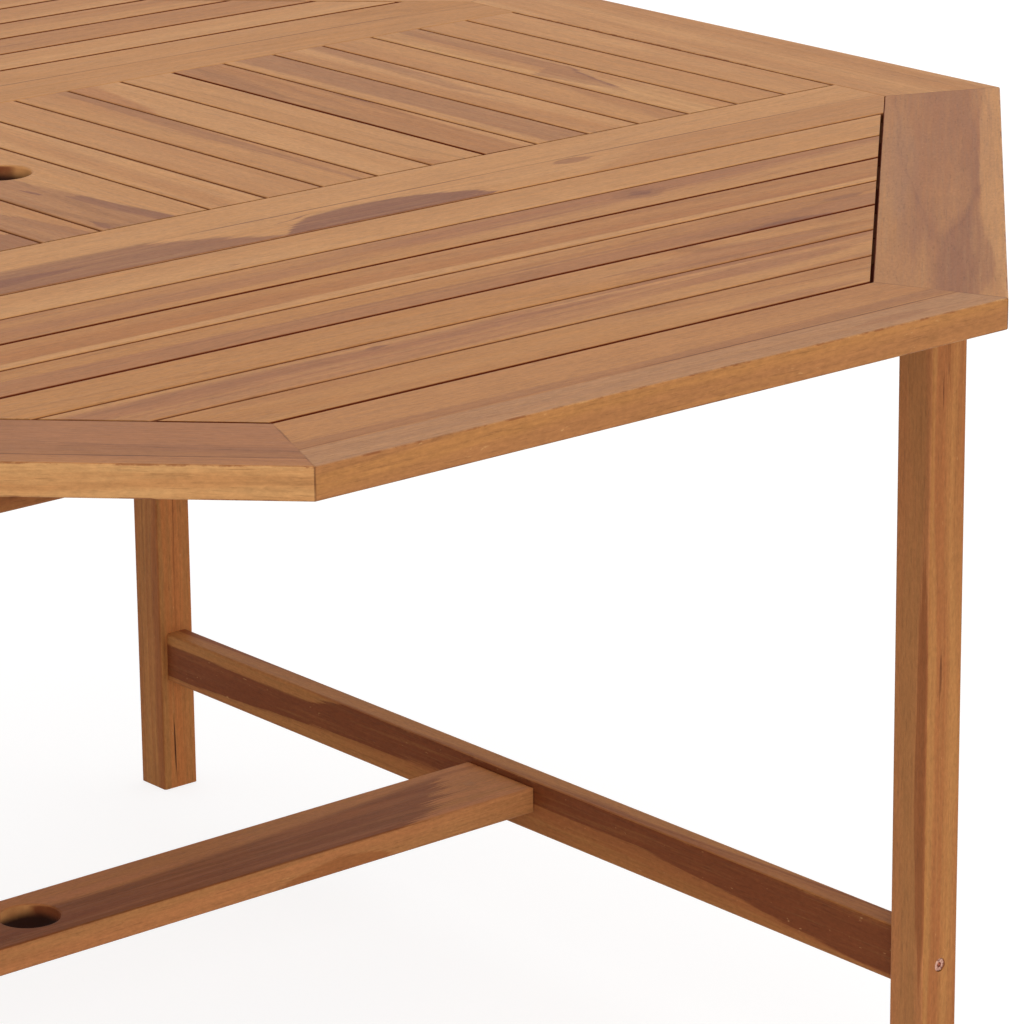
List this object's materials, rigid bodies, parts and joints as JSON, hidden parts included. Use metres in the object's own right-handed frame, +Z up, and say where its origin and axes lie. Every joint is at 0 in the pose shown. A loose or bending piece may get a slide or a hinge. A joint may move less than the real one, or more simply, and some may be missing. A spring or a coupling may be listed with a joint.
{
  "type": "garden table",
  "caption": "Octagonal slatted hardwood garden table on square legs, with end stretchers, a long stretcher and coaxial umbrella holes.",
  "frame": {"origin": "centre of the table's footprint at floor level", "axes": "+X along the side slats and the long stretcher, +Y along the centre slats towards the back, +Z up"},
  "size_m": [1.5, 1.5, 0.73],
  "materials": {
    "rim_wood": "oiled, satin",
    "slat_wood": "oiled, satin",
    "frame_wood": "oiled, satin",
    "dowel_wood": "bare",
    "steel": "zinc plated"
  },
  "bodies": {
    "root": {"rail_front": "rim_wood", "rail_front_right": "rim_wood", "rail_right": "rim_wood", "rail_back_right": "rim_wood", "rail_back": "rim_wood", "rail_back_left": "rim_wood", "rail_left": "rim_wood", "rail_front_left": "rim_wood", "stringer_front": "rim_wood", "stringer_back": "rim_wood", "front_slat_1": "slat_wood", "front_slat_2": "slat_wood", "front_slat_3": "slat_wood", "front_slat_4": "slat_wood", "front_slat_5": "slat_wood", "front_slat_6": "slat_wood", "front_slat_7": "slat_wood", "back_slat_1": "slat_wood", "back_slat_2": "slat_wood", "back_slat_3": "slat_wood", "back_slat_4": "slat_wood", "back_slat_5": "slat_wood", "back_slat_6": "slat_wood", "back_slat_7": "slat_wood", "centre_plank": "slat_wood", "centre_slats_1": "slat_wood", "centre_slats_2": "slat_wood", "centre_slats_3": "slat_wood", "centre_slats_4": "slat_wood", "centre_slats_5": "slat_wood", "centre_slats_6": "slat_wood", "centre_slats_7": "slat_wood", "centre_slats_8": "slat_wood", "centre_slats_9": "slat_wood", "centre_slats_10": "slat_wood", "centre_slats_11": "slat_wood", "centre_slats_12": "slat_wood", "leg_front_left": "frame_wood", "leg_front_right": "frame_wood", "leg_back_left": "frame_wood", "leg_back_right": "frame_wood", "apron_front": "frame_wood", "apron_back": "frame_wood", "apron_left": "frame_wood", "apron_right": "frame_wood", "cross_batten_left": "frame_wood", "cross_batten_right": "frame_wood", "end_stretcher_left": "frame_wood", "end_stretcher_right": "frame_wood", "long_stretcher": "frame_wood", "mitre_dowels": "dowel_wood", "leg_dowels": "dowel_wood", "top_screws": "steel", "leg_bolts": "steel", "leg_bolt_nuts": "steel", "centre_bolts": "steel", "centre_bolt_nuts": "steel", "nut_plugs": "dowel_wood"}
  },
  "joints": []
}
